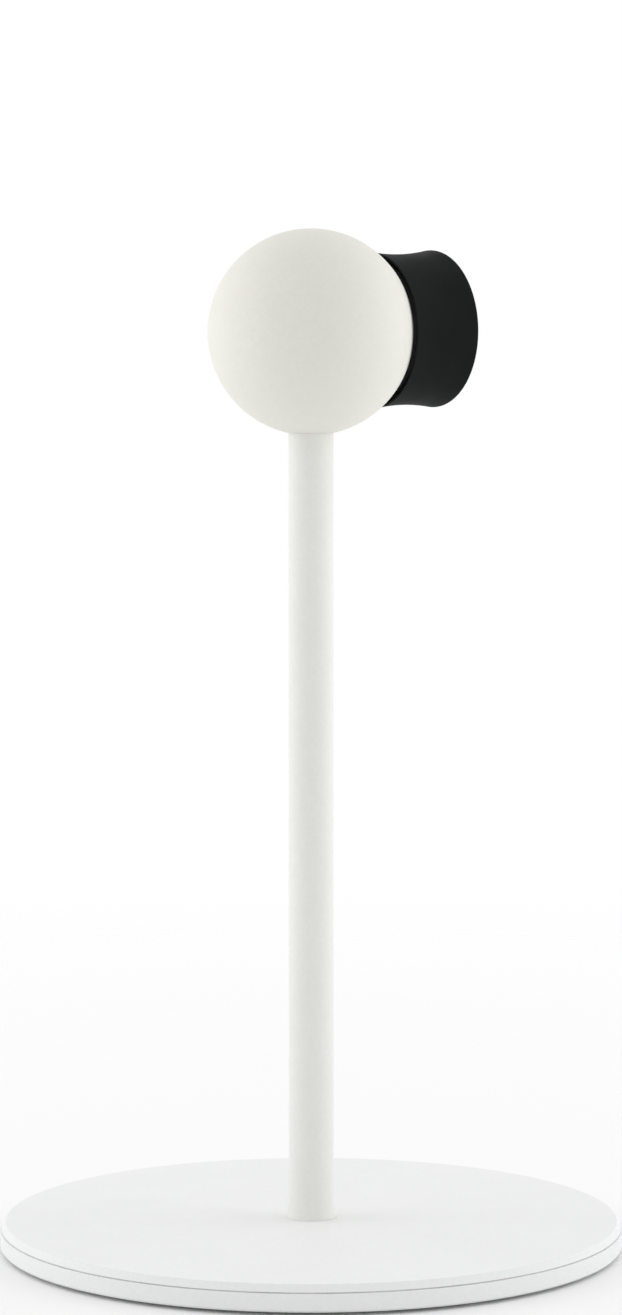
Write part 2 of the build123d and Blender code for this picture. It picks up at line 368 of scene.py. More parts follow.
class EffectLibrary:
    """Builds each shared effect once. A group puts out only masks and values that vary over the surface."""

    def __init__(self) -> None:
        """Starts with no group made."""
        self._made: dict[Effect, NodeTree] = {}

    def place(self, graph: Graph, effect: Effect, vector: NodeSocket, numbers: dict) -> Node:
        """Puts an effect's group into a material.

        Args:
            graph: the material's tree.
            effect: which effect.
            vector: the coordinates.
            numbers: its other inputs by name.

        Returns:
            The group node.
        """
        if effect not in self._made:
            self._made[effect] = self._group(effect, list(numbers))
        return graph.add("ShaderNodeGroup", {"Vector": vector, **numbers}, node_tree=self._made[effect])

    def _group(self, effect: Effect, labels: list[str]) -> NodeTree:
        """Builds an effect's group.

        Args:
            effect: which effect.
            labels: the names of its number inputs, in the order that its own method takes them.

        Returns:
            The group.
        """
        tree = bpy.data.node_groups.new(effect.value, "ShaderNodeTree")
        tree.interface.new_socket("Vector", in_out="INPUT", socket_type="NodeSocketVector")
        for label in labels:
            tree.interface.new_socket(label, in_out="INPUT", socket_type="NodeSocketFloat")
        graph = Graph(tree)
        given = graph.add("NodeGroupInput").outputs
        made = getattr(self, f"_{effect.value}")(graph, given["Vector"], *(given[label] for label in labels))
        for label in made:
            tree.interface.new_socket(label, in_out="OUTPUT", socket_type="NodeSocketFloat")
        graph.add("NodeGroupOutput", made)
        return tree

    # Each method below fills one group: it takes the graph and the inputs and returns the outputs by name.

    @staticmethod
    def _paint_grain(graph: Graph, place: NodeSocket, grains: NodeSocket,
                     patches: NodeSocket) -> dict[str, NodeSocket]:
        """Fine bumps of a sprayed or moulded surface, with a slow mottling."""
        broad_scale, broad_share = 0.31, 0.35
        fine = graph.noise(place, grains, detail=2.0, roughness=0.6)
        broad = graph.noise(place, graph.times(grains, broad_scale), detail=1.0)
        mottle = graph.ramp(graph.noise(place, patches, detail=4.0, roughness=0.55), low=0.3, high=0.7)
        return {"Height": graph.blend(broad_share, fine, broad), "Mottle": mottle}

    @staticmethod
    def _edge_wear(graph: Graph, place: NodeSocket, amount: NodeSocket,
                   breaks: NodeSocket) -> dict[str, NodeSocket]:
        """Patches along the piece's rounded edges: rubbed wear, which rubber finishes lighten so that it also
        paints a highlight on the rims.
        """
        broken = graph.ramp(graph.noise(place, breaks, detail=4.0, roughness=0.65), low=0.42, high=0.68)
        return {"Wear": graph.times(graph.times(graph.attribute("edge"), broken), amount, clamp=True)}

    @staticmethod
    def _settled_dust(graph: Graph, place: NodeSocket, amount: NodeSocket,
                      patches: NodeSocket) -> dict[str, NodeSocket]:
        """Fine dust on what faces up at rest, thicker in patches, with single specks."""
        film_share, speck_cells = 0.4, 520.0
        upward = graph.ramp(graph.attribute("upward"), low=0.35, high=0.95)
        film = graph.ramp(graph.noise(place, patches, detail=5.0, roughness=0.7), low=0.35, high=0.8)
        cells = graph.add("ShaderNodeTexVoronoi", {"Vector": place, "Scale": speck_cells, "Randomness": 1.0})
        speck = graph.ramp(cells.outputs["Distance"], low=0.04, high=0.09, start=1.0, end=0.0)
        chosen = graph.ramp(graph.red(cells.outputs["Color"]), low=0.93, high=0.95)
        both = graph.math("MAXIMUM", graph.times(film, film_share), graph.times(speck, chosen))
        return {"Dust": graph.times(graph.times(both, upward), amount, clamp=True)}

    @staticmethod
    def _turning_marks(graph: Graph, place: NodeSocket, marks: NodeSocket) -> dict[str, NodeSocket]:
        """Fine rings that a lathe leaves about the Z axis of the given coordinates."""
        patch_scale, patch_share = 0.06, 0.4
        x, y, z = graph.add("ShaderNodeSeparateXYZ", {0: place}).outputs
        radius = graph.math("SQRT", graph.math("ADD", graph.times(x, x), graph.times(y, y)))
        section = graph.add("ShaderNodeCombineXYZ", {0: radius, 1: z}).outputs[0]
        rings = graph.noise(section, marks, detail=3.0, roughness=0.7)
        patches = graph.noise(place, graph.times(marks, patch_scale), detail=3.0)
        return {"Height": rings, "Shade": graph.blend(patch_share, rings, patches)}

    @staticmethod
    def _lint(graph: Graph, place: NodeSocket, cells: NodeSocket, share: NodeSocket) -> dict[str, NodeSocket]:
        """Sparse pale specks that cling to rubber."""
        bends, reach = 900.0, (0.0012, 0.0012, 0.0012)
        wander = graph.add("ShaderNodeTexNoise", {"Vector": place, "Scale": bends, "Detail": 2.0})
        bent = graph.add("ShaderNodeVectorMath", {0: wander.outputs["Color"], 1: reach}, operation="MULTIPLY")
        moved = graph.add("ShaderNodeVectorMath", {0: place, 1: bent.outputs[0]}, operation="ADD")
        specks = graph.add("ShaderNodeTexVoronoi", {"Vector": moved.outputs[0], "Scale": cells}).outputs
        speck = graph.ramp(specks["Distance"], low=0.05, high=0.12, start=1.0, end=0.0)
        level = graph.math("SUBTRACT", 1.0, share)
        return {"Lint": graph.times(speck, graph.math("GREATER_THAN", graph.red(specks["Color"]), level))}


EFFECTS = EffectLibrary()


# ---- Finishes ---------------------------------------------------------------------------------------------

class TurnAxis(Enum):
    """The axis that lathe rings run about."""

    POST = "post"
    PUCK = "puck"

    def centred(self, graph: Graph, place: NodeSocket) -> NodeSocket:
        """Turns coordinates so that Z runs along this axis.

        Args:
            graph: the material's tree.
            place: Object coordinates.

        Returns:
            The coordinates to use for the rings.
        """
        if self is TurnAxis.POST:
            return place
        inputs = {"Vector": place, "Location": BALL_CENTRE, "Rotation": PUCK_TURN.to_euler()}
        return graph.add("ShaderNodeMapping", inputs, vector_type="TEXTURE").outputs[0]


def start_material(name: str) -> tuple[Material, Graph, Node, NodeSocket]:
    """Makes a material with a Principled shader and Object coordinates.

    Args:
        name: of the material.

    Returns:
        The material, its graph, the shader and the coordinates.
    """
    material = bpy.data.materials.new(name)
    material.use_nodes = True
    material.node_tree.nodes.clear()
    graph = Graph(material.node_tree)
    shader = graph.add("ShaderNodeBsdfPrincipled")
    graph.add("ShaderNodeOutputMaterial", {"Surface": shader.outputs[0]})
    return material, graph, shader, graph.add("ShaderNodeTexCoord").outputs["Object"]


def opaque(colour: Colour) -> Rgba:
    """Adds full alpha to a colour."""
    return (*colour, 1.0)


def tint(colour: Colour, factor: float) -> Rgba:
    """Scales a colour's brightness and gives it full alpha."""
    return opaque(tuple(min(1.0, part * factor) for part in colour))


@dataclass(frozen=True)
class Layer:
    """An effect laid over a finish, in a colour of its own or in a shade of the finish's.

    Where the effect is full, it covers by `share` and adds `roughness`.
    """

    effect: Effect
    numbers: dict[str, float]
    share: float
    shade: float = 1.0
    colour: Colour | None = None
    roughness: float = 0.0

    def over(self, own: Colour) -> Rgba:
        """Gives the colour that is laid on a finish of this colour."""
        return opaque(self.colour) if self.colour else tint(own, self.shade)


@dataclass(frozen=True)
class Finish(ABC):
    """What all finishes have: a colour, a roughness and the depth of the surface in millimetres.

    Shades are factors on the colour, and the roughness swings to both sides.
    """

    colour: Colour
    roughness: float
    depth: float
    shades: ClassVar[tuple[float, float]]
    swing: ClassVar[float]

    @abstractmethod
    def surface(self, graph: Graph, place: NodeSocket) -> Surface:
        """Makes the bare surface.

        Args:
            graph: the material's tree.
            place: Object coordinates.

        Returns:
            Its heights, colour and roughness.
        """

    @abstractmethod
    def layers(self) -> list[Layer]:
        """Gives what lies over the bare surface, from the lowest up."""

    def extras(self) -> dict[str, float]:
        """Gives the shader's other inputs."""
        return {}

    def shaded(self, graph: Graph, tone: NodeSocket) -> NodeSocket:
        """Mixes the two shades of the finish's colour."""
        return graph.mix_colour(tone, *(tint(self.colour, shade) for shade in self.shades))

    def rough_span(self) -> dict[str, float]:
        """Gives the roughness at the two ends of a ramp, as ramp() takes them."""
        return {"start": self.roughness - self.swing, "end": self.roughness + self.swing}

    def material(self, slot: str) -> Material:
        """Builds the material, under a name that no plain material of the frame has.

        Args:
            slot: the name of its slot.

        Returns:
            The material.
        """
        material, graph, shader, place = start_material(f"{slot}_finish")
        height, colour, rough = self.surface(graph, place)
        for layer in self.layers():
            mask = EFFECTS.place(graph, layer.effect, place, layer.numbers).outputs[0]
            colour = graph.cover(colour, mask, layer.share, layer.over(self.colour))
            if layer.roughness:
                rough = graph.math("ADD", rough, graph.times(mask, layer.roughness), clamp=True)
        normal = graph.bump(height, self.depth)
        graph.feed(shader, {"Base Color": colour, "Roughness": rough, "Normal": normal, **self.extras()})
        return material


@dataclass(frozen=True)
class PowderCoat(Finish):
    """Sprayed and baked paint: fine grain, slow mottling, rubbed edges and a trace of dust."""

    grains: ClassVar[dict[str, float]] = {"Grains": 2600.0, "Patches": 55.0}
    shades: ClassVar[tuple[float, float]] = (0.975, 1.025)
    mottle_share: ClassVar[float] = 0.35
    swing: ClassVar[float] = 0.04
    gloss: ClassVar[float] = 0.4

    def surface(self, graph: Graph, place: NodeSocket) -> Surface:
        """Makes the grain and the mottling; see Finish."""
        height, mottle = EFFECTS.place(graph, Effect.GRAIN, place, self.grains).outputs
        speckled = self.shaded(graph, graph.ramp(height, low=0.3, high=0.7))
        mottled = graph.cover(speckled, mottle, self.mottle_share, tint(self.colour, self.shades[0]))
        return height, mottled, graph.ramp(mottle, low=0.0, high=1.0, smooth=False, **self.rough_span())

    def layers(self) -> list[Layer]:
        """Gives rubbed edges and dust."""
        return [
            Layer(Effect.EDGE_WEAR, {"Amount": 0.35, "Breaks": 420.0}, share=0.5, shade=0.86,
                  roughness=-0.12),
            Layer(Effect.DUST, {"Amount": 0.25, "Patches": 90.0}, share=0.35, colour=(0.55, 0.53, 0.49),
                  roughness=0.3),
        ]

    def extras(self) -> dict[str, float]:
        """Gives the gloss."""
        return {"Specular IOR Level": self.gloss}


@dataclass(frozen=True)
class SoftRubber(Finish):
    """Silicone, rubber, gel or foam: matte, softly mottled, with clinging lint."""

    sheen: float = 0.05
    gloss: float = 0.3
    pores: float = 3200.0
    lint: float = 0.03
    sheen_roughness: ClassVar[float] = 0.45
    patches: ClassVar[float] = 110.0
    shades: ClassVar[tuple[float, float]] = (0.88, 1.14)
    swing: ClassVar[float] = 0.05

    def surface(self, graph: Graph, place: NodeSocket) -> Surface:
        """Makes the pores and the mottling; see Finish."""
        numbers = {"Grains": self.pores, "Patches": self.patches}
        height, mottle = EFFECTS.place(graph, Effect.GRAIN, place, numbers).outputs
        rough = graph.ramp(mottle, low=0.0, high=1.0, smooth=False, **self.rough_span())
        return height, self.shaded(graph, mottle), rough

    def layers(self) -> list[Layer]:
        """Gives rubbed edges, which are lighter partly as a painted highlight on the rims, dust and lint."""
        return [
            # Lighter rounded edges: partly rubbed wear, partly a painted highlight of the rims catching light.
            Layer(Effect.EDGE_WEAR, {"Amount": 0.6, "Breaks": 260.0}, share=0.5, shade=1.9, roughness=-0.1),
            Layer(Effect.DUST, {"Amount": 0.5, "Patches": 140.0}, share=0.06, colour=(0.4, 0.39, 0.37)),
            Layer(Effect.LINT, {"Cells": 360.0, "Share": self.lint}, share=0.22, colour=(0.5, 0.5, 0.5)),
        ]

    def extras(self) -> dict[str, float]:
        """Gives the sheen and the gloss."""
        return {"Sheen Weight": self.sheen, "Sheen Roughness": self.sheen_roughness,
                "Specular IOR Level": self.gloss}


@dataclass(frozen=True)
class TurnedMetal(Finish):
    """Turned or plated metal with fine lathe rings, about the post's axis or about the puck's."""

    metallic: float = 1.0
    axis: TurnAxis = TurnAxis.POST
    marks: ClassVar[float] = 5200.0
    shades: ClassVar[tuple[float, float]] = (0.82, 1.1)
    swing: ClassVar[float] = -0.08

    def surface(self, graph: Graph, place: NodeSocket) -> Surface:
        """Makes the rings, of which the darker ones are rougher; see Finish."""
        centred = self.axis.centred(graph, place)
        height, shade = EFFECTS.place(graph, Effect.TURNING, centred, {"Marks": self.marks}).outputs
        return height, self.shaded(graph, shade), graph.ramp(shade, low=0.2, high=0.8, **self.rough_span())

    def layers(self) -> list[Layer]:
        """Gives bright rubbed edges."""
        return [Layer(Effect.EDGE_WEAR, {"Amount": 0.8, "Breaks": 700.0}, share=0.6, shade=1.35)]

    def extras(self) -> dict[str, float]:
        """Says how metallic it is."""
        return {"Metallic": self.metallic}


@dataclass(frozen=True)
class MouldedPlastic(Finish):
    """Injection-moulded plastic with a fine spark-eroded texture."""

    grains: ClassVar[dict[str, float]] = {"Grains": 4200.0, "Patches": 150.0}
    shades: ClassVar[tuple[float, float]] = (0.92, 1.08)
    swing: ClassVar[float] = 0.06

    def surface(self, graph: Graph, place: NodeSocket) -> Surface:
        """Makes the texture and a faint mottling; see Finish."""
        height, mottle = EFFECTS.place(graph, Effect.GRAIN, place, self.grains).outputs
        return height, self.shaded(graph, mottle), graph.ramp(height, low=0.3, high=0.7, **self.rough_span())

    def layers(self) -> list[Layer]:
        """Gives rubbed edges."""
        return [Layer(Effect.EDGE_WEAR, {"Amount": 0.5, "Breaks": 500.0}, share=0.4, shade=1.5)]


# ---- What everything is made of ---------------------------------------------------------------------------

class Body(Enum):
    """The groups of pieces that the finer pieces ride on."""

    STAND = "stand"
    BALL = "ball"
    PUCK = "puck"


class Slot(Enum):
    """The material slots of the stand."""

    FOOT_RUBBER = "foot_rubber"
    BASE_PAINT = "base_paint"
    BONDING_FOAM = "bonding_foam"
    POLE_PAINT = "pole_paint"
    BALL_PAINT = "ball_paint"
    STEEL = "steel"
    FASTENER_STEEL = "fastener_steel"
    NYLON = "nylon"
    BRASS = "brass"
    NICKEL = "nickel"
    SLIDE_LINER = "slide_liner"
    HOUSING_PLASTIC = "housing_plastic"
    CUSHION_FOAM = "cushion_foam"
    PAD_GEL = "pad_gel"
    SILICONE = "silicone"


FINISHES = {
    Slot.FOOT_RUBBER: SoftRubber((0.030, 0.030, 0.032), roughness=0.72, depth=0.02),
    Slot.BASE_PAINT: PowderCoat((0.83, 0.84, 0.835), roughness=0.58, depth=0.006),
    Slot.BONDING_FOAM: SoftRubber((0.66, 0.66, 0.65), roughness=0.85, depth=0.03),
    Slot.POLE_PAINT: PowderCoat((0.81, 0.81, 0.775), roughness=0.60, depth=0.006),
    Slot.BALL_PAINT: PowderCoat((0.79, 0.78, 0.725), roughness=0.60, depth=0.016),
    Slot.STEEL: TurnedMetal((0.56, 0.57, 0.58), roughness=0.30, depth=0.004),
    Slot.FASTENER_STEEL: TurnedMetal((0.10, 0.10, 0.105), roughness=0.42, depth=0.004, metallic=0.9),
    Slot.NYLON: MouldedPlastic((0.80, 0.78, 0.70), roughness=0.45, depth=0.008),
    Slot.BRASS: TurnedMetal((0.72, 0.52, 0.22), roughness=0.28, depth=0.004, axis=TurnAxis.PUCK),
    Slot.NICKEL: TurnedMetal((0.74, 0.73, 0.70), roughness=0.20, depth=0.002, axis=TurnAxis.PUCK),
    Slot.SLIDE_LINER: MouldedPlastic((0.055, 0.056, 0.058), roughness=0.35, depth=0.003),
    Slot.HOUSING_PLASTIC: MouldedPlastic((0.022, 0.022, 0.024), roughness=0.55, depth=0.008),
    Slot.CUSHION_FOAM: SoftRubber((0.05, 0.05, 0.055), roughness=0.9, depth=0.12, pores=1500.0),
    Slot.PAD_GEL: SoftRubber((0.028, 0.028, 0.030), roughness=0.42, depth=0.006, sheen=0.0, gloss=0.15),
    Slot.SILICONE: SoftRubber((0.0095, 0.0110, 0.0103), roughness=0.6, depth=0.01, sheen=0.0,
                              gloss=0.05, lint=0.02),
}


class Paintbox:
    """Makes each finish's material once, and dresses the pieces that stay as they came."""

    def __init__(self) -> None:
        """Starts with no material made."""
        self._made: dict[Slot, Material] = {}

    def of(self, slot: Slot) -> Material:
        """Gives a slot's material.

        Args:
            slot: the slot.

        Returns:
            Its material, made at the first call.
        """
        if slot not in self._made:
            self._made[slot] = FINISHES[slot].material(slot.value)
        return self._made[slot]

    def dress_all(self) -> None:
        """Gives every carried-over node the material of its slot."""
        for subpart in frame["record"]["subparts"]:
            node = frame["nodes"][subpart["node"]]
            if not node.data.materials:
                node.data.materials.append(None)
            for holder in node.material_slots:
                holder.link = "OBJECT"
                holder.material = self.of(Slot(subpart["material_slot"]))
        LOG.info("dressed %d carried-over nodes", len(frame["nodes"]))


@dataclass
class SubAssembly:
    """What the sub-assemblies share: facets, small rounds and the way a finished piece is handed over."""

    paints: Paintbox
    segments: int = 192
    edge_round: float = 0.1

    def hand_over(self, mesh: Mesh, body: Body, slot: Slot, *nodes: str) -> None:
        """Makes an object of a mesh, lets it ride on its body and hides what it replaces.

        Args:
            mesh: its shape, which has the piece's name.
            body: what it moves with.
            slot: its material slot.
            nodes: the carried-over nodes that it stands for.
        """
        piece = new_piece(mesh.name, mesh, self.paints.of(slot))
        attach(piece, body.value)
        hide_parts(*nodes)
        LOG.info("%s: %d faces on %s", piece.name, len(mesh.polygons), body.value)


@dataclass(frozen=True)
class Extent:
    """How far out a round node about the post's axis reaches, and its bottom and top, in millimetres."""

    radius: float
    bottom: float
    top: float

    @classmethod
    def of(cls, node: str) -> "Extent":
        """Measures a node of the frame."""
        low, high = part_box(node)
        return cls((high.x - low.x) / 2 / MM, low.z / MM, high.z / MM)


# ---- Geometry node trees ----------------------------------------------------------------------------------

@dataclass(frozen=True)
class Growth(ABC):
    """Small shapes that a geometry tree grows on a mesh. Each kind has one tree, built at its first use."""

    label: ClassVar[str]
    trees: ClassVar[dict[type, NodeTree]] = {}

    @abstractmethod
    def numbers(self) -> dict[str, float]:
        """Gives the tree's inputs by name: lengths in metres, and counts."""

    @abstractmethod
    def shapes(self, graph: Graph, given: dict) -> NodeSocket:
        """Fills the tree.

        Args:
            graph: the tree's graph.
            given: the tree's inputs by name.

        Returns:
            What grew.
        """

    def _tree(self) -> NodeTree:
        """Builds the tree: it joins what grew to the given shape, realizes it and sets the material.

        Returns:
            The tree.
        """
        tree = bpy.data.node_groups.new(self.label, "GeometryNodeTree")
        tree.interface.new_socket("Geometry", in_out="INPUT", socket_type="NodeSocketGeometry")
        for label, value in self.numbers().items():
            kind = "NodeSocketInt" if isinstance(value, int) else "NodeSocketFloat"
            tree.interface.new_socket(label, in_out="INPUT", socket_type=kind).default_value = value
        tree.interface.new_socket("Material", in_out="INPUT", socket_type="NodeSocketMaterial")
        tree.interface.new_socket("Geometry", in_out="OUTPUT", socket_type="NodeSocketGeometry")
        graph = Graph(tree)
        given = graph.add("NodeGroupInput").outputs
        join = graph.add("GeometryNodeJoinGeometry", {0: self.shapes(graph, given)})
        graph.feed(join, {0: given["Geometry"]})
        real = graph.add("GeometryNodeRealizeInstances", {"Geometry": join.outputs[0]})
        inputs = {"Geometry": real.outputs[0], "Material": given["Material"]}
        graph.add("NodeGroupOutput", {0: graph.add("GeometryNodeSetMaterial", inputs).outputs[0]})
        return tree

    def grow(self, start: Mesh, material: Material) -> Mesh:
        """Grows the shapes on a mesh.

        Args:
            start: the mesh that they stand on, which is used up.
            material: what it is all made of.

        Returns:
            A plain mesh of the same name.
        """
        kind = type(self)
        if kind not in self.trees:
            self.trees[kind] = self._tree()
        values = {**self.numbers(), "Material": material}
        name = start.name
        carrier = bpy.data.objects.new(name, start)
        bpy.context.scene.collection.objects.link(carrier)
        modifier = carrier.modifiers.new(self.label, "NODES")
        modifier.node_group = self.trees[kind]
        for item in self.trees[kind].interface.items_tree:
            if item.item_type == "SOCKET" and item.in_out == "INPUT" and item.name in values:
                modifier[item.identifier] = values[item.name]
        depsgraph = bpy.context.evaluated_depsgraph_get()
        mesh = bpy.data.meshes.new_from_object(carrier.evaluated_get(depsgraph))
        bpy.data.objects.remove(carrier)
        bpy.data.meshes.remove(start)
        mesh.name = name
        return mesh


@dataclass(frozen=True)
class StudField(Growth):
    """Rows of small moulded studs on a face that looks along +Z, in millimetres.

    They fill a ring, or a whole disc if the inner radius is below 0. Rows are a little farther apart than
    `row_share` of the pitch.
    """

    pitch: float
    inner: float
    outer: float
    radius: float
    top_radius: float
    height: float
    level: float
    sides: int = 12
    row_share: ClassVar[float] = 0.8
    spare_rows: ClassVar[int] = 3
    label: ClassVar[str] = "stud_field"

    def numbers(self) -> dict[str, float]:
        """Gives the tree's inputs, with rows enough to cover the outer radius."""
        rows = 2 * math.ceil(self.outer / self.pitch / self.row_share) + self.spare_rows
        return {
            "Pitch": self.pitch * MM, "Inner": self.inner * MM, "Outer": self.outer * MM,
            "Radius": self.radius * MM, "Top Radius": self.top_radius * MM, "Height": self.height * MM,
            "Level": self.level * MM, "Sides": self.sides, "Rows": rows,
        }

    def shapes(self, graph: Graph, given: dict) -> NodeSocket:
        """Puts a blunt cone at each point of a staggered grid that is cut to the ring; see Growth."""
        pitch, rows = given["Pitch"], given["Rows"]
        row = graph.times(pitch, math.sqrt(0.75))
        spans = graph.math("SUBTRACT", rows, 1.0)
        grid = graph.add("GeometryNodeMeshGrid", {
            "Size X": graph.times(spans, pitch), "Size Y": graph.times(spans, row),
            "Vertices X": rows, "Vertices Y": rows,
        })
        at = graph.add("ShaderNodeSeparateXYZ", {0: graph.add("GeometryNodeInputPosition").outputs[0]})
        number = graph.math("ROUND", graph.math("DIVIDE", at.outputs[1], row))
        odd = graph.math("FLOORED_MODULO", number, 2.0)
        half = graph.times(graph.times(odd, pitch), 0.5)
        shift = graph.add("ShaderNodeCombineXYZ", {0: half, 2: given["Level"]})
        inputs = {"Geometry": grid.outputs[0], "Offset": shift.outputs[0]}
        placed = graph.add("GeometryNodeSetPosition", inputs)
        spot = graph.add("GeometryNodeInputPosition").outputs[0]
        flat = graph.add("ShaderNodeVectorMath", {0: spot, 1: (1.0, 1.0, 0.0)}, operation="MULTIPLY")
        far = graph.add("ShaderNodeVectorMath", {0: flat.outputs[0]}, operation="LENGTH").outputs["Value"]
        inside = graph.math("LESS_THAN", far, given["Outer"])
        outside = graph.math("GREATER_THAN", far, given["Inner"])
        stud = graph.add("GeometryNodeMeshCone", {
            "Vertices": given["Sides"], "Radius Top": given["Top Radius"], "Radius Bottom": given["Radius"],
            "Depth": given["Height"],
        })
        return graph.add("GeometryNodeInstanceOnPoints", {
            "Points": placed.outputs[0], "Selection": graph.times(inside, outside),
            "Instance": stud.outputs["Mesh"],
        }).outputs[0]


@dataclass(frozen=True)
class Thread(Growth):
    """A screw thread wound about Z on a plain core, in millimetres."""

    core: float
    depth: float
    pitch: float
    start: float
    length: float
    steps: int = 32
    label: ClassVar[str] = "screw_thread"

    def numbers(self) -> dict[str, float]:
        """Gives the tree's inputs."""
        return {
            "Core": self.core * MM, "Depth": self.depth * MM, "Start": self.start * MM,
            "Length": self.length * MM, "Turns": self.length / self.pitch, "Steps": self.steps,
        }

    def shapes(self, graph: Graph, given: dict) -> NodeSocket:
        """Draws a four-sided ridge, half sunk in the core, along a helix; see Growth."""
        helix = graph.add("GeometryNodeCurveSpiral", {
            "Resolution": given["Steps"], "Rotations": given["Turns"], "Start Radius": given["Core"],
            "End Radius": given["Core"], "Height": given["Length"],
        })
        lift = graph.add("ShaderNodeCombineXYZ", {2: given["Start"]})
        inputs = {"Geometry": helix.outputs[0], "Translation": lift.outputs[0]}
        raised = graph.add("GeometryNodeTransform", inputs)
        level = graph.add("GeometryNodeSetCurveNormal", {"Curve": raised.outputs[0]}, mode="Z_UP")
        ridge = graph.add("GeometryNodeCurvePrimitiveCircle", {"Resolution": 4, "Radius": given["Depth"]})
        inputs = {"Curve": level.outputs[0], "Profile Curve": ridge.outputs[0], "Fill Caps": True}
        return graph.add("GeometryNodeCurveToMesh", inputs).outputs[0]


# ---- Sub-assemblies ---------------------------------------------------------------------------------------

@dataclass
class Foot(SubAssembly):
    """Round foot: studded rubber pad, steel plate and painted cover."""

    rim_lean: float = 1.1
    rim_round: float = 0.22
    seam_round: float = 0.07
    plate_chamfer: float = 0.5
    plate_round: float = 0.18
    seat_depth: float = 0.6
    seat_gap: float = 0.1
    seat_round: float = 0.12
    sink_radius: float = 5.75
    sink_wall: float = 0.3
    sink_round: float = 0.05
    shank_radius: float = 3.1
    cover_hole: float = 6.13
    cover_hole_round: float = 0.15
    pad_hole: float = 10.0
    pad_bevel: float = 0.35
    pad_round: float = 0.12
    lip_width: float = 1.4
    lip_lean: float = 0.3
    lip_round: float = 0.15
    stud_height: float = 0.4
    stud_pitch: float = 4.4
    stud_margin: float = 3.4
    stud_radius: float = 1.35
    stud_top_radius: float = 1.1

    def build(self) -> None:
        """Builds the three pieces."""
        self._pad()
        self._plate()
        self._cover()

    def _pad(self) -> None:
        """Rubber ring with a lip at both edges and rows of studs between, made face up and then turned."""
        size = Extent.of("foot_pad")
        face = size.top
        floor = face - self.stud_height
        outer, inner = size.radius, self.pad_hole
        # One edge of the ring as (distance in from that edge, height, round).
        side = [
            (0.0, 0.0, self.edge_round),
            (0.0, face - self.pad_bevel, self.pad_round),
            (self.pad_bevel, face, self.pad_round),
            (self.lip_width, face, self.lip_round),
            (self.lip_width + self.lip_lean, floor, self.pad_round),
        ]
        mesh = turned_mesh("foot_pad_rubber", Outline([
            *(Corner(outer - way, up, bend) for way, up, bend in side),
            *(Corner(inner + way, up, bend) for way, up, bend in reversed(side)),
        ], arc_steps=3), self.segments, Matrix())
        studs = StudField(
            pitch=self.stud_pitch, inner=inner + self.stud_margin, outer=outer - self.stud_margin,
            radius=self.stud_radius, top_radius=self.stud_top_radius, height=self.stud_height, level=floor,
        )
        mesh = studs.grow(mesh, self.paints.of(Slot.FOOT_RUBBER))
        mesh.transform(Matrix.Translation((0, 0, face * MM)) @ Matrix.Rotation(math.pi, 4, "X"))
        mark_upward(mesh)
        self.hand_over(mesh, Body.STAND, Slot.FOOT_RUBBER, "foot_pad")

    def _plate(self) -> None:
        """Steel plate with the pad's seat and the sunk hole for the post's screw."""
        size = Extent.of("base_plate")
        seat = Extent.of("foot_pad").radius + self.seat_gap
        floor = size.bottom + self.seat_depth
        head = floor + self.sink_wall
        mesh = turned_mesh("base_plate_painted", Outline([
            Corner(self.shank_radius, size.top, self.edge_round),
            Corner(size.radius, size.top, self.seam_round),
            Corner(size.radius, size.bottom + self.plate_chamfer, self.plate_round),
            Corner(size.radius - self.plate_chamfer, size.bottom, self.plate_round),
            Corner(seat, size.bottom, self.seat_round),
            Corner(seat, floor, self.edge_round),
            Corner(self.sink_radius, floor, self.edge_round),
            Corner(self.sink_radius, head, self.sink_round),
            Corner(self.shank_radius, head + self.sink_radius - self.shank_radius, self.edge_round),
        ]), self.segments, Matrix())
        self.hand_over(mesh, Body.STAND, Slot.BASE_PAINT, "base_plate")

    def _cover(self) -> None:
        """Painted cover with its leaning rim."""
        size = Extent.of("base_cover")
        mesh = turned_mesh("base_cover_painted", Outline([
            Corner(self.cover_hole, size.bottom, self.edge_round),
            Corner(size.radius, size.bottom, self.seam_round),
            Corner(size.radius - self.rim_lean, size.top, self.rim_round),
            Corner(self.cover_hole, size.top, self.cover_hole_round),
        ]), self.segments, Matrix())
        self.hand_over(mesh, Body.STAND, Slot.BASE_PAINT, "base_cover")


def bowed(first: Corner, middle: Corner, last: Corner, steps: int) -> list[Corner]:
    """Runs a shallow curve through three points, spaced evenly in height.

    Args:
        first: where it starts.
        middle: where it is half-way.
        last: where it ends.
        steps: how many runs to divide it into.

    Returns:
        The points between the two ends, which are left out.
    """
    points = []
    for step in range(1, steps):
        t = step / steps
        out = first.out * (1 - t) * (1 - 2 * t) + middle.out * 4 * t * (1 - t) + last.out * t * (2 * t - 1)
        points.append(Corner(out, first.up + t * (last.up - first.up)))
    return points


